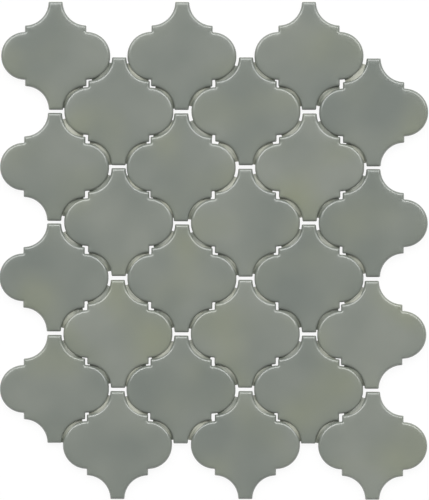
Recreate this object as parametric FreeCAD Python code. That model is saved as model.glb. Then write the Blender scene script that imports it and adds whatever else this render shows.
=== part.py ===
import FreeCAD, Part
import math
import os
import random

from FreeCAD import Placement, Rotation, Vector

# A sheet of fired arabesque tiles, lying flat with the glazed faces up. The lantern-shaped tiles
# stand in columns, and every second column sits half a tile lower, so each round lobe lies in the
# hollow flanks of the two tiles beside it. Beads of bond in the curved joints hold the sheet together.
# Millimetres and degrees. X runs across the sheet, Y up it and Z out of its glazed face, and the
# origin is under the middle of the sheet, on the plane of the tiles' backs.

# Outline of one tile, from its neck round to its lobe
NECK_WIDTH = 8.5
LOBE_RADIUS = 14.3
FLANK_EASE = 0.2        # the hollow flank's radius is this much less than the lobe's
NOTCH_HEIGHT = 3.9      # straight step between the hollow flank and the lobe

# Body of one tile
TILE_THICKNESS = 6.0
EDGE_RADIUS = 1.5       # rounding of the upper edge, all the way round

# Layout of the sheet
COLUMNS = 6
TILES_PER_COLUMN = 4
END_JOINT = 1.9         # gap between neck ends
SIDE_JOINT = 1.4        # gap between facing notches

# Each tile sits a little off its true place, as tiles laid into a jig by hand do
SETTING_ACROSS = 0.55   # furthest shift along X
SETTING_UP = 0.25       # furthest shift along Y
SETTING_TURN = 0.3      # furthest turn about Z
SETTING_SEED = 1696998

# Bond beads, one on each quarter of a lobe that lies in a hollow flank
BEAD_START_ABOVE = 10.0     # angle round the lobe from its tip to the bead's near end, above the tip
BEAD_START_BELOW = 16.0     # and below it
BEAD_END = 80.0             # angle to the bead's far end, beside the notch
BEAD_BACK = 0.4             # height of the bead's underside above the backs of the tiles
BEAD_HEIGHT = 4.6
BEAD_OVERLAP = 1.2          # how far the untrimmed bead reaches into each tile

# Sizes that follow from the outline
FLANK_RADIUS = LOBE_RADIUS - FLANK_EASE
LOBE_OFFSET = NECK_WIDTH / 2 + FLANK_RADIUS
HALF_HEIGHT = LOBE_RADIUS + NOTCH_HEIGHT + FLANK_RADIUS
COLUMN_PITCH = 2 * LOBE_OFFSET + SIDE_JOINT
TILE_PITCH = 2 * HALF_HEIGHT + END_JOINT
HALF_DROP = TILE_PITCH / 2
QUARTER = 90.0
UP = Vector(0, 0, 1)


def polar(centre, radius, angle):
    """The point at an angle and distance from a centre, in the plane of the backs."""
    turn = math.radians(angle)
    return centre + Vector(radius * math.cos(turn), radius * math.sin(turn), 0)


def arc(centre, radius, start, end):
    """A circular edge from one angle to another."""
    middle = (start + end) / 2
    return Part.Arc(*[polar(centre, radius, angle) for angle in (start, middle, end)]).toShape()


def line(start, end):
    return Part.LineSegment(start, end).toShape()


def half_outline():
    """The edges of the right half of a tile, from the upper neck end down to the lower one."""
    flank_top = Vector(LOBE_OFFSET, HALF_HEIGHT, 0)
    flank_foot = Vector(LOBE_OFFSET, -HALF_HEIGHT, 0)
    lobe = Vector(LOBE_OFFSET, 0, 0)
    upper_notch = polar(lobe, LOBE_RADIUS, QUARTER)
    lower_notch = polar(lobe, LOBE_RADIUS, -QUARTER)
    return [
        arc(flank_top, FLANK_RADIUS, 2 * QUARTER, 3 * QUARTER),
        line(polar(flank_top, FLANK_RADIUS, -QUARTER), upper_notch),
        arc(lobe, LOBE_RADIUS, QUARTER, -QUARTER),
        line(lower_notch, polar(flank_foot, FLANK_RADIUS, QUARTER)),
        arc(flank_foot, FLANK_RADIUS, QUARTER, 2 * QUARTER),
    ]


def make_tile():
    """One lantern tile about the origin: a flat back, upright sides and a rounded upper edge."""
    right = half_outline()
    half_turn = Placement(Vector(), Rotation(UP, 2 * QUARTER))
    left = [edge.transformed(half_turn.toMatrix()) for edge in right]
    neck = Vector(NECK_WIDTH / 2, HALF_HEIGHT, 0)
    far_neck = Vector(-NECK_WIDTH / 2, HALF_HEIGHT, 0)
    ends = [line(far_neck, neck), line(-far_neck, -neck)]
    outline = Part.Wire(Part.__sortEdges__(right + left + ends))
    body = Part.Face(outline).extrude(UP * TILE_THICKNESS)
    upper_edges = [edge for edge in body.Edges if edge.BoundBox.ZMin > TILE_THICKNESS / 2]
    return body.makeFillet(EDGE_RADIUS, upper_edges).Solids[0]


def tile_seats():
    """Where each tile sits, keyed by its column and its row, both counted from the top left."""
    draw = random.Random(SETTING_SEED)
    left = -(COLUMNS - 1) * COLUMN_PITCH / 2
    top = ((TILES_PER_COLUMN - 1) * TILE_PITCH + HALF_DROP) / 2
    seats = {}
    for column in range(COLUMNS):
        drop = HALF_DROP if column % 2 else 0.0
        for row in range(TILES_PER_COLUMN):
            x = left + column * COLUMN_PITCH + draw.uniform(-SETTING_ACROSS, SETTING_ACROSS)
            y = top - drop - row * TILE_PITCH + draw.uniform(-SETTING_UP, SETTING_UP)
            turn = draw.uniform(-SETTING_TURN, SETTING_TURN)
            seats[column, row] = Placement(Vector(x, y, 0), Rotation(UP, turn))
    return seats


def make_bead(lobe_tile, lobe_seat, lobe_side, flank_tile, rises):
    """The bond between one tile's lobe and the hollow flank of its neighbour, trimmed to both.

    lobe_side is 1 for the lobe on the right of its tile and -1 for the left one, and rises is 1 where
    the neighbour on the right sits higher than the one on the left, and -1 where it sits lower.
    """
    centre = lobe_seat.multVec(Vector(lobe_side * LOBE_OFFSET, 0, BEAD_BACK))
    tip = 0.0 if lobe_side > 0 else 2 * QUARTER
    near = BEAD_START_ABOVE if rises * lobe_side > 0 else BEAD_START_BELOW
    start = tip + rises * near
    end = tip + rises * BEAD_END
    inner = LOBE_RADIUS - BEAD_OVERLAP
    outer = LOBE_RADIUS + END_JOINT + BEAD_OVERLAP
    edges = [
        arc(centre, inner, start, end),
        line(polar(centre, inner, end), polar(centre, outer, end)),
        arc(centre, outer, end, start),
        line(polar(centre, outer, start), polar(centre, inner, start)),
    ]
    blank = Part.Face(Part.Wire(edges)).extrude(UP * BEAD_HEIGHT)
    return blank.cut(lobe_tile).cut(flank_tile).Solids[0]


def seam_beads(column, tiles, seats):
    """All beads between one column of tiles and the next one to its right."""
    beads = []
    for row in range(TILES_PER_COLUMN):
        for other_row in range(TILES_PER_COLUMN):
            left = (column, row)
            right = (column + 1, other_row)
            climb = seats[right].Base.y - seats[left].Base.y
            if abs(climb) > TILE_PITCH:
                continue
            rises = 1 if climb > 0 else -1
            beads.append(make_bead(tiles[left], seats[left], 1, tiles[right], rises))
            beads.append(make_bead(tiles[right], seats[right], -1, tiles[left], rises))
    return Part.makeCompound(beads)


os.makedirs("parts", exist_ok=True)
pattern = make_tile()
seats = tile_seats()
tiles = {spot: pattern.transformed(seat.toMatrix()) for spot, seat in seats.items()}

for (column, row), tile in tiles.items():
    tile.exportStep(f"parts/tile_column{column + 1}_row{row + 1}.step")

for column in range(COLUMNS - 1):
    beads = seam_beads(column, tiles, seats)
    beads.exportStep(f"parts/bond_column{column + 1}_to_{column + 2}.step")

tile_width = 2 * (LOBE_OFFSET + LOBE_RADIUS)
sheet_width = (COLUMNS - 1) * COLUMN_PITCH + tile_width
sheet_height = (TILES_PER_COLUMN - 1) * TILE_PITCH + HALF_DROP + 2 * HALF_HEIGHT
print(f"tile {tile_width:.2f} x {2 * HALF_HEIGHT:.2f} x {TILE_THICKNESS:.2f} mm")
print(f"sheet {sheet_width:.2f} x {sheet_height:.2f} mm, {len(tiles)} tiles")
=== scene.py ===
# %% [markdown]
# # A sheet of arabesque tiles
#
# The object is a mosaic sheet: grey-green glazed tiles in the lantern shape called arabesque, set edge
# to edge and held by small beads of bond in the curved joints. Its construction is already settled in
# a solid model, which is loaded here as a fixed frame. Everything below is about looks: how glaze rolls
# over an edge, how it mottles in the kiln, how a bead of bond sits in a joint, and how light shows it.
#
# The frame is in metres, with +X across the columns, +Y up them and +Z out of the glazed faces.

# %% Load the frame and keep its box
import math

import bpy
import numpy as np
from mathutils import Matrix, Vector
from mathutils.geometry import delaunay_2d_cdt


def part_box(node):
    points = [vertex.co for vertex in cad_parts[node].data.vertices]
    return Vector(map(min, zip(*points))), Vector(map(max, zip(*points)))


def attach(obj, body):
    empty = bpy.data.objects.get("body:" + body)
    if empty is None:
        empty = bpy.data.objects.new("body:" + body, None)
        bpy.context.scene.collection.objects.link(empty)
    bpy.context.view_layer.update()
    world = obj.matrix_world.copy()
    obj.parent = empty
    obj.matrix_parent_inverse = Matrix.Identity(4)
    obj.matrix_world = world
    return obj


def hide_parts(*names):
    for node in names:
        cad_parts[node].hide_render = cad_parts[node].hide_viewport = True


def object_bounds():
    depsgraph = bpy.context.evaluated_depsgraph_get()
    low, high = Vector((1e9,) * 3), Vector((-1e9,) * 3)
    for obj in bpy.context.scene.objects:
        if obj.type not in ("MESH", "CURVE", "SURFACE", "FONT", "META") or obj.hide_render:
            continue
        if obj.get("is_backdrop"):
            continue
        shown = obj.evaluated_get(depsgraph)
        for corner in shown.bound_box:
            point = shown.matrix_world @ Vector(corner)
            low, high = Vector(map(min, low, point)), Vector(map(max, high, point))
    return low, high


MM = 0.001
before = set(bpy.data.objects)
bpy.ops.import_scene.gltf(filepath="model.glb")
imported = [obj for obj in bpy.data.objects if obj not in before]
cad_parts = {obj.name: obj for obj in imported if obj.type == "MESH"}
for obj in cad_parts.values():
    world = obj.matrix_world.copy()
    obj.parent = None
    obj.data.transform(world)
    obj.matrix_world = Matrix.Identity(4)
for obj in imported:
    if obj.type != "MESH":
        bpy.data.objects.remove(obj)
cad_low, cad_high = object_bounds()
cad_size = cad_high - cad_low
print(f"frame: {len(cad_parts)} nodes, {cad_size.x / MM:.1f} x {cad_size.y / MM:.1f} mm")

# %% [markdown]
# ## The outline of a tile
#
# A lantern tile is drawn with a compass. From the flat end of its neck a hollow flank swings out through
# a quarter circle, a short straight step drops to the lobe, and the lobe is a quarter circle the other
# way. The tile is the same left and right, up and down, so one quarter of the outline is enough and the
# rest is mirrored. Pressed clay has no knife edges: each corner gets a small radius of its own.
#
# A curve object could hold this line, but plain points are easier to inset and to fill, which is what
# the next step does.

# %% Sizes of the lantern outline
NECK_WIDTH = 8.5 * MM
LOBE_RADIUS = 14.3 * MM
FLANK_RADIUS = 14.1 * MM
NOTCH_HEIGHT = 3.9 * MM
OUTER_CORNER = 0.6 * MM      # where neck ends and steps stick out
INNER_CORNER = 0.4 * MM      # where the step meets the lobe
OUTLINE_SPACING = 0.8 * MM

LOBE_OFFSET = NECK_WIDTH / 2 + FLANK_RADIUS
HALF_HEIGHT = LOBE_RADIUS + NOTCH_HEIGHT + FLANK_RADIUS
print(f"tile: {2 * (LOBE_OFFSET + LOBE_RADIUS) / MM:.1f} x {2 * HALF_HEIGHT / MM:.1f} mm")


def arc(x, y, radius, start, end):
    """Points along a circular arc about (x, y), from one angle to another in degrees."""
    steps = max(3, round(abs(math.radians(end - start)) * radius / OUTLINE_SPACING))
    angles = np.radians(np.linspace(start, end, steps + 1))
    return np.column_stack([x + radius * np.cos(angles), y + radius * np.sin(angles)])


def straight(start, end):
    """Points along a line, both ends left out because the arcs beside it have them."""
    steps = max(2, round(math.dist(start, end) / OUTLINE_SPACING))
    return np.linspace(start, end, steps + 1)[1:-1]


# %% Draw one quarter and mirror it
def quarter_outline():
    """From the middle of the upper neck end, clockwise to the tip of the right lobe."""
    neck = NECK_WIDTH / 2
    shelf = HALF_HEIGHT - FLANK_RADIUS
    out, inn = OUTER_CORNER, INNER_CORNER
    flank_trim = math.degrees(out / FLANK_RADIUS)
    lobe_trim = math.degrees(inn / LOBE_RADIUS)
    return np.vstack([
        [(0.0, HALF_HEIGHT)],
        straight((0.0, HALF_HEIGHT), (neck - out, HALF_HEIGHT)),
        arc(neck - out, HALF_HEIGHT - out, out, 90, 0),
        arc(LOBE_OFFSET, HALF_HEIGHT, FLANK_RADIUS, 180 + flank_trim, 270 - flank_trim)[1:-1],
        arc(LOBE_OFFSET - out, shelf - out, out, 90, 0),
        straight((LOBE_OFFSET, shelf - out), (LOBE_OFFSET, LOBE_RADIUS + inn)),
        arc(LOBE_OFFSET + inn, LOBE_RADIUS + inn, inn, 180, 270),
        arc(LOBE_OFFSET, 0.0, LOBE_RADIUS, 90 - lobe_trim, 0)[1:],
    ])


quarter = quarter_outline()
right_half = np.vstack([quarter, (quarter * (1, -1))[::-1][1:]])
outline = np.vstack([right_half, (right_half * (-1, 1))[::-1][1:-1]])
outline_steps = np.roll(outline, -1, axis=0) - outline
outline_length = np.linalg.norm(outline_steps, axis=1).sum()
print(f"outline: {len(outline)} points, {outline_length / MM:.0f} mm round")

# %% [markdown]
# ## A flat blank with rings
#
# The rounded edge will be raised by a rule that asks how far each point is from the outline, so the
# blank needs points where that rule bends: rings close together at the rim and wider apart inwards, with
# a loose grid in the middle. Each ring is the outline moved inwards, and a point that lands too near
# another stretch of outline, as happens behind a corner, is dropped. A Delaunay fill then joins all of
# it into clean triangles. Every rim point also remembers which way is outwards.

# %% Inset the outline into rings
EDGE_RADIUS = 1.5 * MM
EDGE_STEPS = 7
PILLOW_RINGS = [2.1 * MM, 2.9 * MM, 3.8 * MM, 5.0 * MM]
CLEAR_SHARE = 0.97      # a ring's point keeps this share of its depth from all of the outline

tangent = np.roll(outline, -1, axis=0) - np.roll(outline, 1, axis=0)
tangent /= np.linalg.norm(tangent, axis=1)[:, None]
outward = np.column_stack([-tangent[:, 1], tangent[:, 0]])


def distance_to_outline(points):
    """How far each point is from the nearest stretch of outline."""
    offset = points[:, None, :] - outline[None, :, :]
    share = (offset * outline_steps).sum(2) / (outline_steps ** 2).sum(1)
    nearest = offset - np.clip(share, 0, 1)[:, :, None] * outline_steps
    return np.linalg.norm(nearest, axis=2).min(1)


def ring(depth):
    """The outline moved inwards by a depth, without the points that came too near it again."""
    moved = outline - outward * depth
    return moved[distance_to_outline(moved) > depth * CLEAR_SHARE]


edge_depths = [EDGE_RADIUS * (1 - math.cos(math.pi / 2 * i / EDGE_STEPS)) for i in range(1, EDGE_STEPS + 1)]
rings = [ring(depth) for depth in edge_depths + PILLOW_RINGS]
print(f"rings: {len(rings)}, {sum(len(r) for r in rings)} points")

# %% Fill the blank
GRID_SPACING = 2.6 * MM
FACES_INSIDE = 1        # the fill's own code for faces within the outline only
SAME_POINT = 1e-4       # the fill works in millimetres, and takes points this near for one


def inner_grid():
    """A loose triangular grid inside the tile, clear of the innermost ring."""
    rows = []
    for i, y in enumerate(np.arange(-HALF_HEIGHT, HALF_HEIGHT, GRID_SPACING * math.sqrt(3) / 2)):
        x = np.arange(-2 * HALF_HEIGHT, 2 * HALF_HEIGHT, GRID_SPACING) + GRID_SPACING / 2 * (i % 2)
        rows.append(np.column_stack([x, np.full(len(x), y)]))
    points = np.vstack(rows)
    across, up = np.abs(points).T
    in_lobe = np.hypot(across - LOBE_OFFSET, up) < LOBE_RADIUS
    past_flank = np.hypot(across - LOBE_OFFSET, up - HALF_HEIGHT) > FLANK_RADIUS
    inside = np.where(across > LOBE_OFFSET, in_lobe, past_flank)
    clear = distance_to_outline(points) > PILLOW_RINGS[-1] + GRID_SPACING / 2
    return points[inside & clear]


def fill_blank():
    """The flat blank as a mesh, with the outward direction kept on its rim."""
    points = np.vstack([outline, *rings, inner_grid()])
    count = len(outline)
    rim = [(i, (i + 1) % count) for i in range(count)]
    filled = delaunay_2d_cdt([Vector(p / MM) for p in points], rim, [], FACES_INSIDE, SAME_POINT)
    corners, faces, sources = filled[0], filled[2], filled[3]
    mesh = bpy.data.meshes.new("tile_blank")
    mesh.from_pydata([(p.x * MM, p.y * MM, 0.0) for p in corners], [], faces)
    directions = mesh.attributes.new("outward", "FLOAT_VECTOR", "POINT")
    for corner, source in enumerate(sources):
        if source and source[0] < count:
            directions.data[corner].vector = (*outward[source[0]], 0.0)
    return mesh


blank = fill_blank()
print(f"blank: {len(blank.vertices)} points, {len(blank.polygons)} triangles")

# %% [markdown]
# ## The tile as a rule in Geometry Nodes
#
# One tree turns the blank into a finished tile, and all tiles share it. The rule is the potter's: the
# face is nearly flat, it falls away a little towards the rim because wet glaze pulls back from an edge,
# and the rim itself is a quarter round. Below the rim the glaze runs down the side to a wavy line, where
# the bare clay is set back by the glaze's thickness, and a small bevel leads to the flat back.
#
# The same could be sculpted once and copied, but then each tile would be an exact twin. In a tree the
# seed, the seat and the sizes are inputs, so each tile has waves of its own.

# %% One helper adds a node, and one declares a tree's inputs
# Nodes are laid out in rows, so that a tree can be read when it is opened in the node editor.
NODES_IN_ROW = 10
NODE_STEP_ACROSS, NODE_STEP_DOWN = 200, 220


def add(tree, kind, settings=None, inputs=None):
    """Adds a node, sets its properties, then links or fills its inputs by name or number."""
    made = tree.nodes.new(kind)
    row, place_in_row = divmod(len(tree.nodes), NODES_IN_ROW)
    made.location = (NODE_STEP_ACROSS * place_in_row, -NODE_STEP_DOWN * row)
    for name, value in (settings or {}).items():
        setattr(made, name, value)
    for socket, source in (inputs or {}).items():
        if isinstance(source, bpy.types.Node):
            source = source.outputs[0]
        if isinstance(source, bpy.types.NodeSocket):
            tree.links.new(source, made.inputs[socket])
        else:
            made.inputs[socket].default_value = source
    return made


def start_tree(name, sockets):
    """A new tree with a geometry in and out and the named inputs, and the node that hands them out."""
    tree = bpy.data.node_groups.new(name, "GeometryNodeTree")
    tree.interface.new_socket("Geometry", in_out="OUTPUT", socket_type="NodeSocketGeometry")
    tree.interface.new_socket("Geometry", in_out="INPUT", socket_type="NodeSocketGeometry")
    for socket, kind in sockets.items():
        tree.interface.new_socket(socket, in_out="INPUT", socket_type="NodeSocket" + kind)
    return tree, add(tree, "NodeGroupInput")


# %% Inputs of the tile tree, and the distance from the rim
tile_tree, given = start_tree("glazed_tile", {
    "Thickness": "Float", "Edge Radius": "Float", "Pillow Drop": "Float", "Pillow Reach": "Float",
    "Wave Height": "Float", "Wave Size": "Float", "Glaze Line": "Float", "Line Ripple": "Float",
    "Glaze Step": "Float", "Foot Bevel": "Float", "Seed": "Float", "Tone": "Float",
    "Seat": "Vector", "Turn": "Vector", "Glaze": "Material", "Biscuit": "Material",
})
size = given.outputs
neighbours = add(tile_tree, "GeometryNodeInputMeshEdgeNeighbors")
on_rim = add(tile_tree, "FunctionNodeCompare", {"data_type": "INT", "operation": "EQUAL"},
             {2: neighbours, 3: 1})
rim_line = add(tile_tree, "GeometryNodeSeparateGeometry", {"domain": "EDGE"},
               {"Geometry": size["Geometry"], "Selection": on_rim})
to_rim = add(tile_tree, "GeometryNodeProximity", {"target_element": "EDGES"}, {"Geometry": rim_line})
from_edge = add(tile_tree, "GeometryNodeStoreNamedAttribute", {"data_type": "FLOAT", "domain": "POINT"},
                {"Geometry": size["Geometry"], "Name": "from_edge", "Value": to_rim.outputs["Distance"]})
edge_distance = add(tile_tree, "GeometryNodeInputNamedAttribute", {"data_type": "FLOAT"},
                    {"Name": "from_edge"})
print(f"tile tree: {len(tile_tree.nodes)} nodes so far")

# %% Quarter round, pillow and wave
# A quarter round of radius r falls r - sqrt(d (2 r - d)) below the face at a distance d from the rim.
within = add(tile_tree, "ShaderNodeMath", {"operation": "MINIMUM"},
             {0: edge_distance, 1: size["Edge Radius"]})
two_radii = add(tile_tree, "ShaderNodeMath", {"operation": "MULTIPLY"}, {0: size["Edge Radius"], 1: 2.0})
remaining = add(tile_tree, "ShaderNodeMath", {"operation": "SUBTRACT"}, {0: two_radii, 1: within})
squared = add(tile_tree, "ShaderNodeMath", {"operation": "MULTIPLY"}, {0: within, 1: remaining})
rise = add(tile_tree, "ShaderNodeMath", {"operation": "SQRT"}, {0: squared})
rim_drop = add(tile_tree, "ShaderNodeMath", {"operation": "SUBTRACT"}, {0: size["Edge Radius"], 1: rise})
nearness = add(tile_tree, "ShaderNodeMapRange", {"clamp": True}, {
    "Value": edge_distance, "From Min": 0.0, "From Max": size["Pillow Reach"], "To Min": 1.0, "To Max": 0.0})
pull = add(tile_tree, "ShaderNodeMath", {"operation": "POWER"}, {0: nearness, 1: 2.0})
pillow = add(tile_tree, "ShaderNodeMath", {"operation": "MULTIPLY"}, {0: pull, 1: size["Pillow Drop"]})
place = add(tile_tree, "GeometryNodeInputPosition")
wave_scale = add(tile_tree, "ShaderNodeMath", {"operation": "DIVIDE"}, {0: 1.0, 1: size["Wave Size"]})
wave = add(tile_tree, "ShaderNodeTexNoise", {"noise_dimensions": "4D"}, {
    "Vector": place, "W": size["Seed"], "Scale": wave_scale, "Detail": 1.0})
wave_drop = add(tile_tree, "ShaderNodeMath", {"operation": "MULTIPLY"}, {0: wave, 1: size["Wave Height"]})
drop_a = add(tile_tree, "ShaderNodeMath", {"operation": "ADD"}, {0: rim_drop, 1: pillow})
drop_b = add(tile_tree, "ShaderNodeMath", {"operation": "ADD"}, {0: drop_a, 1: wave_drop})
height = add(tile_tree, "ShaderNodeMath", {"operation": "SUBTRACT"}, {0: size["Thickness"], 1: drop_b})
lift = add(tile_tree, "ShaderNodeCombineXYZ", None, {"Z": height})
face = add(tile_tree, "GeometryNodeSetPosition", None, {"Geometry": from_edge, "Offset": lift})
print(f"tile tree: {len(tile_tree.nodes)} nodes with the face")

# %% Sides, drawn down ring by ring
# Each ring is the rim's edge loop extruded on the spot, then moved to its height and inset.
LINE_WAVE = 9 * MM      # from one dip of the glaze line to the next
outward_here = add(tile_tree, "GeometryNodeInputNamedAttribute", {"data_type": "FLOAT_VECTOR"},
                   {"Name": "outward"})
flat_place = add(tile_tree, "ShaderNodeVectorMath", {"operation": "MULTIPLY"}, {0: place, 1: (1.0, 1.0, 0.0)})
ripple_noise = add(tile_tree, "ShaderNodeTexNoise", {"noise_dimensions": "4D"}, {
    "Vector": flat_place, "W": size["Seed"], "Scale": 1 / LINE_WAVE, "Detail": 2.0})
ripple = add(tile_tree, "ShaderNodeMath", {"operation": "MULTIPLY"},
             {0: ripple_noise, 1: size["Line Ripple"]})
glaze_foot = add(tile_tree, "ShaderNodeMath", {"operation": "ADD"}, {0: size["Glaze Line"], 1: ripple})
bare_top = add(tile_tree, "ShaderNodeMath", {"operation": "SUBTRACT"}, {0: glaze_foot, 1: size["Glaze Step"]})
no_inset = 0.0
levels = [
    (glaze_foot, no_inset),
    (bare_top, size["Glaze Step"]),
    (size["Foot Bevel"], no_inset),
    (no_inset, size["Foot Bevel"]),
]
body = face
loop = on_rim
bare_sides = []
for level, inset in levels:
    drawn = add(tile_tree, "GeometryNodeExtrudeMesh", {"mode": "EDGES"},
                {"Mesh": body, "Selection": loop, "Offset Scale": 0.0})
    inwards = add(tile_tree, "ShaderNodeVectorMath", {"operation": "SCALE"},
                  {0: outward_here, "Scale": inset})
    moved = add(tile_tree, "ShaderNodeVectorMath", {"operation": "SUBTRACT"}, {0: flat_place, 1: inwards})
    raised = add(tile_tree, "ShaderNodeCombineXYZ", None, {"Z": level})
    settled = add(tile_tree, "ShaderNodeVectorMath", {"operation": "ADD"}, {0: moved, 1: raised})
    body = add(tile_tree, "GeometryNodeSetPosition", None, {
        "Geometry": drawn.outputs["Mesh"], "Selection": drawn.outputs["Top"], "Position": settled})
    loop = drawn.outputs["Top"]
    bare_sides.append(drawn.outputs["Side"])
print(f"tile tree: {len(tile_tree.nodes)} nodes with the sides")

# %% Back, shading, finishes and seat
WELD_WITHIN = 0.001 * MM
TILE_ARRIS = math.radians(40)       # a sharper edge than this keeps its crease
back_line = add(tile_tree, "GeometryNodeMeshToCurve", None, {"Mesh": body, "Selection": loop})
back_up = add(tile_tree, "GeometryNodeFillCurve", {"mode": "TRIANGLES"}, {"Curve": back_line})
back = add(tile_tree, "GeometryNodeFlipFaces", None, {"Mesh": back_up})
is_back = add(tile_tree, "GeometryNodeStoreNamedAttribute", {"data_type": "BOOLEAN", "domain": "FACE"},
              {"Geometry": back, "Name": "bare", "Value": True})
step_or_foot = add(tile_tree, "FunctionNodeBooleanMath", {"operation": "OR"},
                   {0: bare_sides[1], 1: bare_sides[2]})
any_bare = add(tile_tree, "FunctionNodeBooleanMath", {"operation": "OR"}, {0: step_or_foot, 1: bare_sides[3]})
is_side = add(tile_tree, "GeometryNodeStoreNamedAttribute", {"data_type": "BOOLEAN", "domain": "FACE"},
              {"Geometry": body, "Name": "bare", "Value": any_bare})
whole = add(tile_tree, "GeometryNodeJoinGeometry", None, {"Geometry": is_side})
tile_tree.links.new(is_back.outputs[0], whole.inputs["Geometry"])
closed = add(tile_tree, "GeometryNodeMergeByDistance", None, {"Geometry": whole, "Distance": WELD_WITHIN})
smooth = add(tile_tree, "GeometryNodeSetShadeSmooth", {"domain": "FACE"},
             {"Geometry": closed, "Shade Smooth": True})
edge_angle = add(tile_tree, "GeometryNodeInputMeshEdgeAngle")
is_arris = add(tile_tree, "FunctionNodeCompare", {"operation": "GREATER_THAN"},
               {0: edge_angle.outputs["Unsigned Angle"], 1: TILE_ARRIS})
creased = add(tile_tree, "GeometryNodeSetShadeSmooth", {"domain": "EDGE"},
              {"Geometry": smooth, "Selection": is_arris, "Shade Smooth": False})
seeded = add(tile_tree, "GeometryNodeStoreNamedAttribute", {"data_type": "FLOAT", "domain": "POINT"},
             {"Geometry": creased, "Name": "tile_seed", "Value": size["Seed"]})
toned = add(tile_tree, "GeometryNodeStoreNamedAttribute", {"data_type": "FLOAT", "domain": "POINT"},
            {"Geometry": seeded, "Name": "tone", "Value": size["Tone"]})
seated = add(tile_tree, "GeometryNodeTransform", None,
             {"Geometry": toned, "Translation": size["Seat"], "Rotation": size["Turn"]})
real = add(tile_tree, "GeometryNodeRealizeInstances", None, {"Geometry": seated})
glazed = add(tile_tree, "GeometryNodeSetMaterial", None, {"Geometry": real, "Material": size["Glaze"]})
is_bare = add(tile_tree, "GeometryNodeInputNamedAttribute", {"data_type": "BOOLEAN"}, {"Name": "bare"})
finished = add(tile_tree, "GeometryNodeSetMaterial", None,
               {"Geometry": glazed, "Selection": is_bare, "Material": size["Biscuit"]})
add(tile_tree, "NodeGroupOutput", None, {"Geometry": finished})
print(f"tile tree: {len(tile_tree.nodes)} nodes in all")

# %% [markdown]
# ## Glaze and biscuit
#
# The glaze is a semi-gloss stoneware glaze, fired: a thin glass with colour in it. To the eye that gives
# a soft body colour that drifts between a cool dark grey-green and a warm light one, with a touch of olive
# where a warm spot also lies thick, a faint ripple, and clean highlights along the rounded edges. Three
# noises do the drift: two as wide as half a tile, for warmth and for olive, and one as small as a
# fingertip. Each tile has a seed and a tone of its own, so that no blotch runs across a joint.
#
# The biscuit is the bare fired clay of the foot and back: pale, dry and slightly grainy.

# %% Colours are written as sRGB and used as linear
def linear(code):
    """A linear RGBA colour from an sRGB hex code."""
    channels = [int(code[i:i + 2], 16) / 255 for i in (1, 3, 5)]
    return [c / 12.92 if c <= 0.04045 else ((c + 0.055) / 1.055) ** 2.4 for c in channels] + [1.0]


def start_material(name):
    """A new material, its tree and its shader node."""
    made = bpy.data.materials.new(name)
    made.use_nodes = True
    return made, made.node_tree, made.node_tree.nodes["Principled BSDF"]


print(f"#808080 is {linear('#808080')[0]:.3f} in linear light")

# %% Stoneware glaze, semi-gloss
COOL_GLAZE = linear("#6A716A")
WARM_GLAZE = linear("#7E837A")
OLIVE_TINT = linear("#FFFFEA")
THIN_GLAZE = linear("#7E837C")       # over the rim, where the pale clay shows through
BLOTCH_SIZE = 30 * MM
POOL_SIZE = 34 * MM
CLOUD_SIZE = 9 * MM
RIPPLE_SIZE = 4 * MM                 # a real glaze ripples at about 1 mm, too fine to show from here

glaze, tree, shader = start_material("stoneware_glaze_semi_gloss")
coords = add(tree, "ShaderNodeTexCoord").outputs["Object"]
seed = add(tree, "ShaderNodeAttribute", {"attribute_name": "tile_seed"}).outputs["Fac"]
tone = add(tree, "ShaderNodeAttribute", {"attribute_name": "tone"}).outputs["Fac"]
depth = add(tree, "ShaderNodeAttribute", {"attribute_name": "from_edge"}).outputs["Fac"]
blotch = add(tree, "ShaderNodeTexNoise", {"noise_dimensions": "4D"}, {
    "Vector": coords, "W": seed, "Scale": 1 / BLOTCH_SIZE, "Detail": 1.0, "Roughness": 0.4})
drift = add(tree, "ShaderNodeMapRange", None, {
    "Value": blotch.outputs["Fac"], "From Min": 0.3, "From Max": 0.7, "To Min": 0.12, "To Max": 0.88})
warmth = add(tree, "ShaderNodeMath", {"operation": "ADD", "use_clamp": True}, {0: drift, 1: tone})
body_colour = add(tree, "ShaderNodeMix", {"data_type": "RGBA"}, {0: warmth, 6: COOL_GLAZE, 7: WARM_GLAZE})
pool = add(tree, "ShaderNodeTexNoise", {"noise_dimensions": "4D"}, {
    "Vector": coords, "W": seed, "Scale": 1 / POOL_SIZE, "Detail": 0.0})
pooled = add(tree, "ShaderNodeMapRange", None,
             {"Value": pool.outputs["Fac"], "From Min": 0.42, "From Max": 0.74})
thick = add(tree, "ShaderNodeMath", {"operation": "MULTIPLY"}, {0: pooled, 1: warmth})
olive = add(tree, "ShaderNodeMix", {"data_type": "RGBA", "blend_type": "MULTIPLY"},
            {0: thick, 6: body_colour.outputs[2], 7: OLIVE_TINT})
cloud = add(tree, "ShaderNodeTexNoise", {"noise_dimensions": "4D"}, {
    "Vector": coords, "W": seed, "Scale": 1 / CLOUD_SIZE, "Detail": 3.0})
cloudy = add(tree, "ShaderNodeMapRange", None,
             {"Value": cloud.outputs["Fac"], "To Min": 0.97, "To Max": 1.03})
clouded = add(tree, "ShaderNodeVectorMath", {"operation": "SCALE"}, {0: olive.outputs[2], "Scale": cloudy})
thinness = add(tree, "ShaderNodeMapRange", {"clamp": True}, {
    "Value": depth, "From Min": 0.0, "From Max": EDGE_RADIUS, "To Min": 0.35, "To Max": 0.0})
colour = add(tree, "ShaderNodeMix", {"data_type": "RGBA"}, {0: thinness, 6: clouded, 7: THIN_GLAZE})
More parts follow.
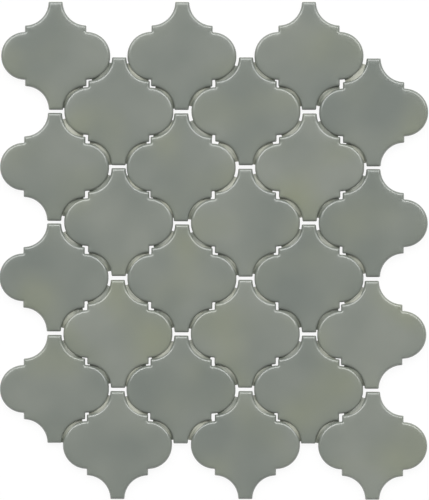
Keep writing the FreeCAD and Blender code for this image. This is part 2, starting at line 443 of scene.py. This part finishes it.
# The denoiser takes anything smoother than 0.27 for a mirror, so a roughness that crosses it leaves specks.
gloss = add(tree, "ShaderNodeMapRange", None, {"Value": cloud.outputs["Fac"], "To Min": 0.29, "To Max": 0.37})
peel = add(tree, "ShaderNodeTexNoise", {"noise_dimensions": "4D"}, {
    "Vector": coords, "W": seed, "Scale": 1 / RIPPLE_SIZE, "Detail": 1.0})
bump = add(tree, "ShaderNodeBump", None,
           {"Strength": 0.25, "Distance": 0.05 * MM, "Height": peel.outputs["Fac"]})
shader.inputs["IOR"].default_value = 1.5
shader.inputs["Coat Weight"].default_value = 1.0
shader.inputs["Coat Roughness"].default_value = 0.17
shader.inputs["Coat IOR"].default_value = 1.6
tree.links.new(colour.outputs[2], shader.inputs["Base Color"])
tree.links.new(gloss.outputs[0], shader.inputs["Roughness"])
tree.links.new(bump.outputs[0], shader.inputs["Normal"])
print(f"{glaze.name}: {len(tree.nodes)} nodes")

# %% Biscuit, bare fired clay
BISCUIT = linear("#CFC7B8")
BISCUIT_DARK = linear("#B9AE9C")
GRAIN_SIZE = 1.2 * MM

biscuit, tree, shader = start_material("biscuit_fired_clay")
coords = add(tree, "ShaderNodeTexCoord").outputs["Object"]
grain = add(tree, "ShaderNodeTexNoise", None, {"Vector": coords, "Scale": 1 / GRAIN_SIZE, "Detail": 4.0})
stain = add(tree, "ShaderNodeTexNoise", None, {"Vector": coords, "Scale": 1 / BLOTCH_SIZE, "Detail": 3.0})
mixed = add(tree, "ShaderNodeMath", {"operation": "MULTIPLY"},
            {0: grain.outputs["Fac"], 1: stain.outputs["Fac"]})
spread = add(tree, "ShaderNodeMapRange", {"clamp": True},
             {"Value": mixed, "From Min": 0.12, "From Max": 0.42})
colour = add(tree, "ShaderNodeMix", {"data_type": "RGBA"}, {0: spread, 6: BISCUIT_DARK, 7: BISCUIT})
bump = add(tree, "ShaderNodeBump", None,
           {"Strength": 0.5, "Distance": 0.1 * MM, "Height": grain.outputs["Fac"]})
shader.inputs["Roughness"].default_value = 0.85
shader.inputs["IOR"].default_value = 1.5
tree.links.new(colour.outputs[2], shader.inputs["Base Color"])
tree.links.new(bump.outputs[0], shader.inputs["Normal"])
print(f"{biscuit.name}: {len(tree.nodes)} nodes")

# %% [markdown]
# ## Seating the tiles
#
# Hand-set tiles are never quite in line, and the frame knows where each one sits. The middle of a node's
# box is the middle of its tile, because the lantern is the same both ways. The turn is too small for the
# box to show, but the flat neck end gives it away: if the tile leans, the end's two corners lie a little
# to one side of the middle.
#
# The kiln isn't even either. A few tiles in the sheet came out warmer and a few cooler, so those are
# named, and the rest lie between.

# %% Read each tile's seat from the frame
END_BAND = 0.06 * MM


def seat_of(node):
    """The middle of a tile in the plane of the backs, and its turn about Z in radians."""
    low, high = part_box(node)
    middle = (low + high) / 2
    end = [v.co.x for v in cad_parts[node].data.vertices if v.co.y > high.y - END_BAND]
    lean = (min(end) + max(end)) / 2 - middle.x
    return Vector((middle.x, middle.y, 0.0)), -math.asin(lean / HALF_HEIGHT)


COLUMNS = range(1, 7)
ROWS = range(1, 5)
seats = {(c, r): seat_of(f"tile_column{c}_row{r}") for c in COLUMNS for r in ROWS}
turns = [math.degrees(turn) for middle, turn in seats.values()]
print(f"{len(seats)} seats, turned from {min(turns):.2f} to {max(turns):.2f} degrees")


# %% Make the tiles
def grow(name, mesh, tree, values):
    """Runs a tree on a mesh and keeps the result as a plain mesh object with nothing live on it."""
    piece = bpy.data.objects.new(name, mesh)
    bpy.context.scene.collection.objects.link(piece)
    modifier = piece.modifiers.new(tree.name, "NODES")
    modifier.node_group = tree
    for socket in tree.interface.items_tree:
        if socket.name in values:
            modifier[socket.identifier] = values[socket.name]
    evaluated = piece.evaluated_get(bpy.context.evaluated_depsgraph_get())
    grown = bpy.data.meshes.new_from_object(evaluated)
    piece.modifiers.remove(modifier)
    piece.data = grown
    grown.name = name
    return piece


# The tones are shares of the way from the cool glaze to the warm one. The seeds are far enough apart that
# no two tiles share a pattern.
WARM_TILES = {(5, 2), (2, 3), (4, 3), (6, 3), (6, 4)}
COOL_TILES = {(6, 1), (6, 2), (3, 4), (5, 3), (1, 3)}
WARMER, COOLER = 0.28, -0.2
SEED_BY_COLUMN, SEED_BY_ROW = 7.3, 2.9
TILE_SIZES = {
    "Thickness": cad_size.z, "Edge Radius": EDGE_RADIUS, "Pillow Drop": 0.35 * MM,
    "Pillow Reach": PILLOW_RINGS[-1], "Wave Height": 0.06 * MM, "Wave Size": 22 * MM,
    "Glaze Line": 1.6 * MM, "Line Ripple": 0.9 * MM, "Glaze Step": 0.12 * MM, "Foot Bevel": 0.3 * MM,
    "Glaze": glaze, "Biscuit": biscuit,
}


def make_tile(column, row):
    """One glazed tile in its seat, standing for its node of the frame."""
    spot = (column, row)
    middle, turn = seats[spot]
    tone = WARMER if spot in WARM_TILES else COOLER if spot in COOL_TILES else 0.0
    seed = SEED_BY_COLUMN * column + SEED_BY_ROW * row
    own = {"Seed": seed, "Tone": tone, "Seat": middle, "Turn": (0.0, 0.0, turn)}
    tile = grow(f"glazed_tile_{column}_{row}", blank, tile_tree, TILE_SIZES | own)
    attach(tile, "root")
    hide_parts(f"tile_column{column}_row{row}")
    return tile


tiles = [make_tile(column, row) for column in COLUMNS for row in ROWS]
print(f"{len(tiles)} tiles, {len(tiles[0].data.polygons)} faces each")

# %% [markdown]
# ## Bond beads in the joints
#
# What holds the sheet together shows only in the curved joints: a bead of clear bond on each quarter lobe
# that lies in a neighbour's hollow flank. It fills the joint from wall to wall and nearly to the top. The
# soft bond sank a little towards the bottom of the sheet before it set, so it climbs the tile below it, and
# its ends run out low before the notch and before the neck, which leaves a small dark pit there.
#
# A bead follows a path between two circles that aren't quite concentric, so its width changes along the
# way. The tree takes one point for each bead, puts a plain block there, and bends it: along the block is
# an angle round the lobe, across it is the way from the lobe's wall to the flank's, and up stays up.

# %% Where the beads go
# Each bead has an angle from the tip of the lobe to its start, a height at its ends and one at its middle,
# a climb up the tile it leans to, a place along it where it has half run out, and a side to lean to: 1 for
# the flank's and -1 for the lobe's. Every bead leans to the tile below it.
ABOVE_LOBE = {"start": math.radians(10), "low": 3.1 * MM, "high": 4.3 * MM, "climb": 1.5 * MM,
              "fall": 0.78, "lean": -1}
BELOW_LOBE = {"start": math.radians(18), "low": 3.1 * MM, "high": 4.6 * MM, "climb": 1.15 * MM,
              "fall": 0.89, "lean": 1}


def lobe_centre(spot, side):
    """The centre of a tile's lobe: side is 1 for the right one and -1 for the left one."""
    middle, turn = seats[spot]
    return middle + Vector((math.cos(turn), math.sin(turn), 0.0)) * (side * LOBE_OFFSET)


def flank_centre(spot, side, level):
    """The centre of a tile's hollow flank on one side: level is 1 for the upper one and -1 for the lower."""
    turn = seats[spot][1]
    return lobe_centre(spot, side) + Vector((-math.sin(turn), math.cos(turn), 0.0)) * (level * HALF_HEIGHT)


def seam_joints(column):
    """For each bead of a seam, the centres of its lobe and flank, the angle of the tip, and its kind."""
    joints = []
    for row in ROWS:
        for other in ROWS:
            left, right = (column, row), (column + 1, other)
            higher = seats[right][0].y - seats[left][0].y
            if abs(higher) > 2 * HALF_HEIGHT:
                continue
            rises = 1 if higher > 0 else -1
            left_kind, right_kind = (ABOVE_LOBE, BELOW_LOBE)[::rises]
            on_left = {"lobe": lobe_centre(left, 1), "flank": flank_centre(right, -1, -rises), "tip": 0.0}
            on_right = {"lobe": lobe_centre(right, -1), "flank": flank_centre(left, 1, rises), "tip": math.pi}
            joints += [on_left | left_kind | {"sweep": rises}, on_right | right_kind | {"sweep": rises}]
    return joints


seams = {column: seam_joints(column) for column in COLUMNS[:-1]}
print(f"{sum(len(joints) for joints in seams.values())} beads in {len(seams)} seams")

# %% Inputs of the bead tree, and its blocks
bead_tree, given = start_tree("bond_beads", {
    "Lobe Radius": "Float", "Flank Radius": "Float", "Bite": "Float", "End": "Float", "Spread": "Float",
    "Back": "Float", "Seed": "Int", "Bond": "Material",
})
size = given.outputs
POINTS_ALONG, POINTS_ACROSS, POINTS_UP = 25, 8, 4
block = add(bead_tree, "GeometryNodeMeshCube", None, {
    "Size": (1.0, 1.0, 1.0),
    "Vertices X": POINTS_ALONG, "Vertices Y": POINTS_ACROSS, "Vertices Z": POINTS_UP})
block_place = add(bead_tree, "GeometryNodeInputPosition")
from_corner = add(bead_tree, "ShaderNodeVectorMath", {"operation": "ADD"},
                  {0: block_place, 1: (0.5, 0.5, 0.5)})
marked = add(bead_tree, "GeometryNodeStoreNamedAttribute", {"data_type": "FLOAT_VECTOR", "domain": "POINT"},
             {"Geometry": block, "Name": "in_bead", "Value": from_corner})
set_out = add(bead_tree, "GeometryNodeInstanceOnPoints", None,
              {"Points": size["Geometry"], "Instance": marked})
blocks = add(bead_tree, "GeometryNodeRealizeInstances", None, {"Geometry": set_out})
in_bead = add(bead_tree, "GeometryNodeInputNamedAttribute", {"data_type": "FLOAT_VECTOR"},
              {"Name": "in_bead"})
share = add(bead_tree, "ShaderNodeSeparateXYZ", None, {0: in_bead}).outputs
lobe, flank = [
    add(bead_tree, "GeometryNodeInputNamedAttribute", {"data_type": "FLOAT_VECTOR"}, {"Name": name})
    for name in ("lobe", "flank")]
tip, sweep, start, low, high, climb, fall, lean = [
    add(bead_tree, "GeometryNodeInputNamedAttribute", {"data_type": "FLOAT"}, {"Name": name})
    for name in ("tip", "sweep", "start", "low", "high", "climb", "fall", "lean")]
number = add(bead_tree, "GeometryNodeInputNamedAttribute", {"data_type": "INT"}, {"Name": "bead"})
print(f"bead tree: {len(bead_tree.nodes)} nodes so far")

# %% Angle round the lobe
# Each bead starts and stops a little early or late, as a squirted bead does. A random draw is keyed by the
# bead's number plus an offset of its own, so that no draw follows another.
START_DRAW, END_DRAW, FILL_DRAW, BATCH_DRAW = 0.0, 1000.0, 2000.0, 3000.0
less = add(bead_tree, "ShaderNodeMath", {"operation": "MULTIPLY"}, {0: size["Spread"], 1: -1.0})
ends = []
for planned, offset in ((start, START_DRAW), (size["End"], END_DRAW)):
    own_id = add(bead_tree, "ShaderNodeMath", {"operation": "ADD"}, {0: number, 1: offset})
    chance = add(bead_tree, "FunctionNodeRandomValue", {"data_type": "FLOAT"},
                 {2: less, 3: size["Spread"], "ID": own_id, "Seed": size["Seed"]})
    ends.append(add(bead_tree, "ShaderNodeMath", {"operation": "ADD"}, {0: planned, 1: chance.outputs[1]}))
along = add(bead_tree, "ShaderNodeMapRange", {"clamp": False},
            {"Value": share["X"], "To Min": ends[0], "To Max": ends[1]})
swept = add(bead_tree, "ShaderNodeMath", {"operation": "MULTIPLY"}, {0: along, 1: sweep})
angle = add(bead_tree, "ShaderNodeMath", {"operation": "ADD"}, {0: tip, 1: swept})
cosine = add(bead_tree, "ShaderNodeMath", {"operation": "COSINE"}, {0: angle})
sine = add(bead_tree, "ShaderNodeMath", {"operation": "SINE"}, {0: angle})
ray = add(bead_tree, "ShaderNodeCombineXYZ", None, {"X": cosine, "Y": sine})
print(f"bead tree: {len(bead_tree.nodes)} nodes with the angle")

# %% From the lobe's wall to the flank's
# A ray from the lobe's centre meets the flank's circle at p + sqrt(p p - g g + r r), where g is the
# vector between the centres, p its part along the ray, and r the flank's radius.
gap = add(bead_tree, "ShaderNodeVectorMath", {"operation": "SUBTRACT"}, {0: flank, 1: lobe})
part = add(bead_tree, "ShaderNodeVectorMath", {"operation": "DOT_PRODUCT"}, {0: gap, 1: ray}).outputs["Value"]
gap_squared = add(bead_tree, "ShaderNodeVectorMath", {"operation": "DOT_PRODUCT"},
                  {0: gap, 1: gap}).outputs["Value"]
part_squared = add(bead_tree, "ShaderNodeMath", {"operation": "MULTIPLY"}, {0: part, 1: part})
radius_squared = add(bead_tree, "ShaderNodeMath", {"operation": "MULTIPLY"},
                     {0: size["Flank Radius"], 1: size["Flank Radius"]})
under_a = add(bead_tree, "ShaderNodeMath", {"operation": "SUBTRACT"}, {0: part_squared, 1: gap_squared})
under_b = add(bead_tree, "ShaderNodeMath", {"operation": "ADD"}, {0: under_a, 1: radius_squared})
root = add(bead_tree, "ShaderNodeMath", {"operation": "SQRT"}, {0: under_b})
far_wall = add(bead_tree, "ShaderNodeMath", {"operation": "ADD"}, {0: part, 1: root})
near_bite = add(bead_tree, "ShaderNodeMath", {"operation": "SUBTRACT"},
                {0: size["Lobe Radius"], 1: size["Bite"]})
far_bite = add(bead_tree, "ShaderNodeMath", {"operation": "ADD"}, {0: far_wall, 1: size["Bite"]})
reach = add(bead_tree, "ShaderNodeMapRange", {"clamp": False},
            {"Value": share["Y"], "To Min": near_bite, "To Max": far_bite})
arm = add(bead_tree, "ShaderNodeVectorMath", {"operation": "SCALE"}, {0: ray, "Scale": reach})
on_plan = add(bead_tree, "ShaderNodeVectorMath", {"operation": "ADD"}, {0: lobe, 1: arm})
print(f"bead tree: {len(bead_tree.nodes)} nodes with the width")

# %% A swell along the bead, a slope across it
# The top swells slowly to the middle of the bead and sinks slowly from there, like a lens. The slope up the
# tile that the bead leans to is full for most of its length and runs out quickly at both ends, where the
# joint looks dark. These places are shares of the bead's length, and a fill is a share of its height.
RISE_BY = 0.16
SWELL_BY = 0.45
FALL_HALF = 0.12
SINK_EARLY = 0.2
LEAST_FILL, MOST_FILL = 0.95, 0.98
fall_from = add(bead_tree, "ShaderNodeMath", {"operation": "SUBTRACT"}, {0: fall, 1: FALL_HALF})
sink_from = add(bead_tree, "ShaderNodeMath", {"operation": "SUBTRACT"}, {0: fall_from, 1: SINK_EARLY})
fall_by = add(bead_tree, "ShaderNodeMath", {"operation": "ADD"}, {0: fall, 1: FALL_HALF})
humps = []
for up_by, down_from in ((RISE_BY, fall_from), (SWELL_BY, sink_from)):
    up = add(bead_tree, "ShaderNodeMapRange", {"interpolation_type": "SMOOTHSTEP"},
             {"Value": share["X"], "From Min": 0.0, "From Max": up_by})
    down = add(bead_tree, "ShaderNodeMapRange", {"interpolation_type": "SMOOTHSTEP"}, {
        "Value": share["X"], "From Min": down_from, "From Max": fall_by, "To Min": 1.0, "To Max": 0.0})
    humps.append(add(bead_tree, "ShaderNodeMath", {"operation": "MULTIPLY"}, {0: up, 1: down}))
dome, swell = humps
own_id = add(bead_tree, "ShaderNodeMath", {"operation": "ADD"}, {0: number, 1: FILL_DRAW})
fill = add(bead_tree, "FunctionNodeRandomValue", {"data_type": "FLOAT"},
           {2: LEAST_FILL, 3: MOST_FILL, "ID": own_id, "Seed": size["Seed"]})
own_high = add(bead_tree, "ShaderNodeMath", {"operation": "MULTIPLY"}, {0: high, 1: fill.outputs[1]})
top = add(bead_tree, "ShaderNodeMapRange", None, {"Value": swell, "To Min": low, "To Max": own_high})
off_middle = add(bead_tree, "ShaderNodeMath", {"operation": "SUBTRACT"}, {0: share["Y"], 1: 0.5})
leaning = add(bead_tree, "ShaderNodeMath", {"operation": "MULTIPLY_ADD"}, {0: off_middle, 1: lean, 2: 0.5})
slope = add(bead_tree, "ShaderNodeMath", {"operation": "MULTIPLY"}, {0: leaning, 1: climb})
own_slope = add(bead_tree, "ShaderNodeMath", {"operation": "MULTIPLY"}, {0: slope, 1: dome})
crown = add(bead_tree, "ShaderNodeMath", {"operation": "ADD"}, {0: top, 1: own_slope})
stood = add(bead_tree, "ShaderNodeMapRange", {"clamp": False},
            {"Value": share["Z"], "To Min": size["Back"], "To Max": crown})
upright = add(bead_tree, "ShaderNodeCombineXYZ", None, {"Z": stood})
bent_place = add(bead_tree, "ShaderNodeVectorMath", {"operation": "ADD"}, {0: on_plan, 1: upright})
bent = add(bead_tree, "GeometryNodeSetPosition", None, {"Geometry": blocks, "Position": bent_place})
print(f"bead tree: {len(bead_tree.nodes)} nodes with the bend")

# %% What the bond's pattern follows
# The streaks in the bond run along the bead, so each point keeps its way along the bead and across it. The
# batch is a number of the bead's own, which makes it paler or darker than the next one.
BATCH_SPREAD = 0.16
own_id = add(bead_tree, "ShaderNodeMath", {"operation": "ADD"}, {0: number, 1: BATCH_DRAW})
batch = add(bead_tree, "FunctionNodeRandomValue", {"data_type": "FLOAT"},
            {2: -BATCH_SPREAD, 3: BATCH_SPREAD, "ID": own_id, "Seed": size["Seed"]})
batched = add(bead_tree, "GeometryNodeStoreNamedAttribute", {"data_type": "FLOAT", "domain": "POINT"},
              {"Geometry": bent, "Name": "batch", "Value": batch.outputs[1]})
run = add(bead_tree, "ShaderNodeMath", {"operation": "MULTIPLY"}, {0: along, 1: size["Lobe Radius"]})
lie = add(bead_tree, "ShaderNodeCombineXYZ", None, {"X": run, "Y": reach})
laid = add(bead_tree, "GeometryNodeStoreNamedAttribute", {"data_type": "FLOAT_VECTOR", "domain": "POINT"},
           {"Geometry": batched, "Name": "lie", "Value": lie})
print(f"bead tree: {len(bead_tree.nodes)} nodes with what the pattern needs")

# %% Turn the mirrored beads right side out and finish
BEAD_ARRIS = math.radians(50)
mirrored = add(bead_tree, "FunctionNodeCompare", {"operation": "GREATER_THAN"}, {0: sweep, 1: 0.0})
outside = add(bead_tree, "GeometryNodeFlipFaces", None, {"Mesh": laid, "Selection": mirrored})
rounded = add(bead_tree, "GeometryNodeSetShadeSmooth", {"domain": "FACE"},
              {"Geometry": outside, "Shade Smooth": True})
bead_angle = add(bead_tree, "GeometryNodeInputMeshEdgeAngle")
keeps_crease = add(bead_tree, "FunctionNodeCompare", {"operation": "GREATER_THAN"},
                   {0: bead_angle.outputs["Unsigned Angle"], 1: BEAD_ARRIS})
sharp = add(bead_tree, "GeometryNodeSetShadeSmooth", {"domain": "EDGE"},
            {"Geometry": rounded, "Selection": keeps_crease, "Shade Smooth": False})
real = add(bead_tree, "GeometryNodeRealizeInstances", None, {"Geometry": sharp})
bonded = add(bead_tree, "GeometryNodeSetMaterial", None, {"Geometry": real, "Material": size["Bond"]})
add(bead_tree, "NodeGroupOutput", None, {"Geometry": bonded})
print(f"bead tree: {len(bead_tree.nodes)} nodes in all")

# %% [markdown]
# ## The bond itself
#
# The bond is a clear plastic with a smooth skin. Between two glazed walls their grey-green shows through it
# and mirrors in it. That is painted into its colour as painted show-through and reflection, rather than made
# as clear stuff, which a library part would pay for in every render. The bond itself is a little warmer and
# paler where it lies thick. It was drawn out along the joint as it went in, which left long thin streaks.

# %% Clear bond, as it looks between the tiles
# The noise has a fourth coordinate, so that each bead can take its streaks from a place of its own.
# Both colours hold the walls' grey-green as painted show-through and reflection. The step from deep to pale
# is the bond's own random variation.
BOND_DEEP = linear("#696E64")
BOND_PALE = linear("#9EA092")
STREAK_LENGTH = 12 * MM
STREAK_WIDTH = 0.9 * MM
STREAKS_APART = 200.0

bond, tree, shader = start_material("moulded_bond_clear")
lie = add(tree, "ShaderNodeAttribute", {"attribute_name": "lie"}).outputs["Vector"]
batch = add(tree, "ShaderNodeAttribute", {"attribute_name": "batch"}).outputs["Fac"]
drawn_out = add(tree, "ShaderNodeVectorMath", {"operation": "MULTIPLY"},
                {0: lie, 1: (1 / STREAK_LENGTH, 1 / STREAK_WIDTH, 0.0)})
own_place = add(tree, "ShaderNodeMath", {"operation": "MULTIPLY"}, {0: batch, 1: STREAKS_APART})
streak = add(tree, "ShaderNodeTexNoise", {"noise_dimensions": "4D"},
             {"Vector": drawn_out, "W": own_place, "Scale": 1.0, "Detail": 1.0})
shade = add(tree, "ShaderNodeMath", {"operation": "ADD"}, {0: streak.outputs["Fac"], 1: batch})
paler = add(tree, "ShaderNodeMapRange", {"clamp": True}, {"Value": shade, "From Min": 0.34, "From Max": 0.72})
colour = add(tree, "ShaderNodeMix", {"data_type": "RGBA"}, {0: paler, 6: BOND_DEEP, 7: BOND_PALE})
skin = add(tree, "ShaderNodeMapRange", None, {"Value": streak.outputs["Fac"], "To Min": 0.3, "To Max": 0.46})
bump = add(tree, "ShaderNodeBump", None,
           {"Strength": 0.4, "Distance": 0.1 * MM, "Height": streak.outputs["Fac"]})
shader.inputs["IOR"].default_value = 1.5
tree.links.new(colour.outputs[2], shader.inputs["Base Color"])
tree.links.new(skin.outputs[0], shader.inputs["Roughness"])
tree.links.new(bump.outputs[0], shader.inputs["Normal"])
print(f"{bond.name}: {len(tree.nodes)} nodes")

# %% Make the beads, one object for each seam
BEAD_SIZES = {
    "Lobe Radius": LOBE_RADIUS, "Flank Radius": FLANK_RADIUS, "Bite": 0.6 * MM, "End": math.radians(80),
    "Spread": math.radians(5), "Back": 0.4 * MM, "Bond": bond,
}


def bead_points(column, joints):
    """A mesh of loose points, one for each bead, that carry what the tree needs to bend it."""
    mesh = bpy.data.meshes.new(f"bead_points_{column}")
    mesh.from_pydata([joint["lobe"] for joint in joints], [], [])
    for name, value in joints[0].items():
        is_vector = isinstance(value, Vector)
        attribute = mesh.attributes.new(name, "FLOAT_VECTOR" if is_vector else "FLOAT", "POINT")
        for point, joint in zip(attribute.data, joints):
            setattr(point, "vector" if is_vector else "value", joint[name])
    numbers = mesh.attributes.new("bead", "INT", "POINT")
    for i, point in enumerate(numbers.data):
        point.value = i
    return mesh


def make_seam(column, joints):
    """All beads between one column and the next, standing for that seam's node of the frame."""
    seam = grow(f"bond_beads_{column}", bead_points(column, joints), bead_tree, BEAD_SIZES | {"Seed": column})
    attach(seam, "root")
    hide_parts(f"bond_column{column}_to_{column + 1}")
    return seam


beads = [make_seam(column, joints) for column, joints in seams.items()]
print(f"{len(beads)} seams, {len(beads[0].data.polygons)} faces each")

# %% [markdown]
# ## Floor and light
#
# The sheet lies on a white floor. A white that is only painted goes grey under soft light and nearly
# black in a narrow joint, so most of the floor's white is given to the rays that come straight from the
# camera, and the rest is paint, which keeps the sheet's shadow.
#
# The light is a row of three broad soft boxes beyond the top of the sheet, halfway up, and a weak even sky
# that fills the rest. The rounded edges that face the boxes carry a bright line, and the lower ones fall
# dark. The boxes are big and far off, because near ones would light the top of the sheet more than its
# bottom. What the glaze mirrors is a room: white walls low down and a greyer ceiling.

# %% White floor
FLOOR_HALF = 4.0
FLOOR_GLOW = 0.92
FLOOR_DROP = 0.1 * MM

paper = bpy.data.meshes.new("floor")
corners = [(x * FLOOR_HALF, y * FLOOR_HALF, -FLOOR_DROP) for x, y in ((-1, -1), (1, -1), (1, 1), (-1, 1))]
paper.from_pydata(corners, [], [(0, 1, 2, 3)])
floor = bpy.data.objects.new("floor", paper)
bpy.context.scene.collection.objects.link(floor)
floor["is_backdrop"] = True
white, tree, shader = start_material("white_floor")
shader.inputs["Base Color"].default_value = linear("#FFFFFF")
shader.inputs["Roughness"].default_value = 0.9
shader.inputs["Specular IOR Level"].default_value = 0.0
path = add(tree, "ShaderNodeLightPath").outputs
seen = add(tree, "ShaderNodeMath", {"operation": "MAXIMUM"},
           {0: path["Is Camera Ray"], 1: path["Is Glossy Ray"]})
seen = add(tree, "ShaderNodeMath", {"operation": "MAXIMUM"}, {0: seen, 1: path["Is Transmission Ray"]})
share_lit = add(tree, "ShaderNodeMath", {"operation": "MULTIPLY"}, {0: seen, 1: FLOOR_GLOW})
glow = add(tree, "ShaderNodeEmission", None, {"Strength": 1.0})
mixed = add(tree, "ShaderNodeMixShader", None, {0: share_lit, 1: shader, 2: glow})
tree.links.new(mixed.outputs[0], tree.nodes["Material Output"].inputs["Surface"])
paper.materials.append(white)
print(f"floor: {2 * FLOOR_HALF:.0f} m square, {FLOOR_GLOW:.0%} of its white for the camera")

# %% Soft boxes
BOX_WIDTH = 6.0
BOX_DEPTH = 7.8
BOX_DISTANCE = 12.0
BOX_ELEVATION = math.radians(51)
BOX_POWERS = {-45: 596.0, 0: 515.0, 45: 586.0}     # azimuth from +Y, in degrees, and watts


def make_soft_box(azimuth, power):
    """A rectangular lamp that looks at the middle of the sheet from a given side."""
    lamp = bpy.data.lights.new("soft_box", "AREA")
    lamp.shape = "RECTANGLE"
    lamp.size = BOX_WIDTH
    lamp.size_y = BOX_DEPTH
    lamp.energy = power
    box = bpy.data.objects.new("soft_box", lamp)
    out = BOX_DISTANCE * math.cos(BOX_ELEVATION)
    turn = math.radians(azimuth)
    box.location = (out * math.sin(turn), out * math.cos(turn), BOX_DISTANCE * math.sin(BOX_ELEVATION))
    box.rotation_euler = (-box.location).to_track_quat("-Z", "Y").to_euler()
    bpy.context.scene.collection.objects.link(box)
    return box


boxes = [make_soft_box(azimuth, power) for azimuth, power in BOX_POWERS.items()]
print(f"{len(boxes)} soft boxes, {boxes[0].location.z:.2f} m up")

# %% Sky
SKY_LIGHT = 0.25
WALL_TOP = math.sin(math.radians(40))
WALL_GLOSS = 1.0
CEILING_GLOSS = 0.5

world = bpy.data.worlds.new("sky")
world.use_nodes = True
bpy.context.scene.world = world
tree = world.node_tree
sky = tree.nodes["Background"]
sky.inputs["Color"].default_value = linear("#FFFFFF")
path = add(tree, "ShaderNodeLightPath").outputs
looking = add(tree, "ShaderNodeTexCoord").outputs["Generated"]
upwards = add(tree, "ShaderNodeSeparateXYZ", None, {0: looking}).outputs["Z"]
over_walls = add(tree, "ShaderNodeMapRange", {"interpolation_type": "SMOOTHSTEP"}, {
    "Value": upwards, "From Min": 0.0, "From Max": WALL_TOP, "To Min": WALL_GLOSS, "To Max": CEILING_GLOSS})
mirrored = add(tree, "ShaderNodeMath", {"operation": "MAXIMUM"},
               {0: path["Is Glossy Ray"], 1: path["Is Transmission Ray"]})
in_glaze = add(tree, "ShaderNodeMath", {"operation": "MULTIPLY"}, {0: mirrored, 1: over_walls})
seen = add(tree, "ShaderNodeMath", {"operation": "MAXIMUM"}, {0: path["Is Camera Ray"], 1: in_glaze})
strength = add(tree, "ShaderNodeMath", {"operation": "MAXIMUM"}, {0: seen, 1: SKY_LIGHT})
tree.links.new(strength.outputs[0], sky.inputs["Strength"])
print(f"{world.name}: {len(tree.nodes)} nodes")

# %% [markdown]
# ## Camera
#
# The photograph looks straight down with a long lens: no side of a tile shows past its own edge. The
# sheet fills the frame from top to bottom, turned a hair clockwise. The camera's height follows from the
# lens and from how many pixels tall the sheet is in a picture of 429 by 500.

# %% Long lens, straight down
PHOTO_HEIGHT = 500
PHOTO_MIDDLE = Vector((214.5, 250.0))
SHEET_MIDDLE_PX = Vector((213.65, 250.45))
SHEET_HEIGHT_PX = 498.4
SHEET_TURN = math.radians(0.17)
LENS = 200.0
SENSOR = 36.0

pixel = cad_size.y / SHEET_HEIGHT_PX
aim = (PHOTO_MIDDLE - SHEET_MIDDLE_PX) * pixel
cad_middle = (cad_low + cad_high) / 2
lens = bpy.data.cameras.new("camera")
lens.lens = LENS
lens.sensor_width = SENSOR
camera = bpy.data.objects.new("camera", lens)
height = PHOTO_HEIGHT * pixel * LENS / SENSOR
camera.location = (cad_middle.x + aim.x, cad_middle.y - aim.y, cad_high.z + height)
camera.rotation_euler = (0.0, 0.0, SHEET_TURN)
bpy.context.scene.collection.objects.link(camera)
bpy.context.scene.camera = camera
bpy.context.scene.view_settings.view_transform = "Standard"
print(f"camera {height:.2f} m above the face, {pixel / MM:.3f} mm to a pixel")

# %% [markdown]
# ## Last measurements
#
# The last cell prints how far the corners of the finished sheet's box lie from those of the frame's box.

# %% Keep both boxes, then finish
low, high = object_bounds()
print(f"grown by {(low - cad_low).length / MM:.3f} and {(high - cad_high).length / MM:.3f} mm at the corners")
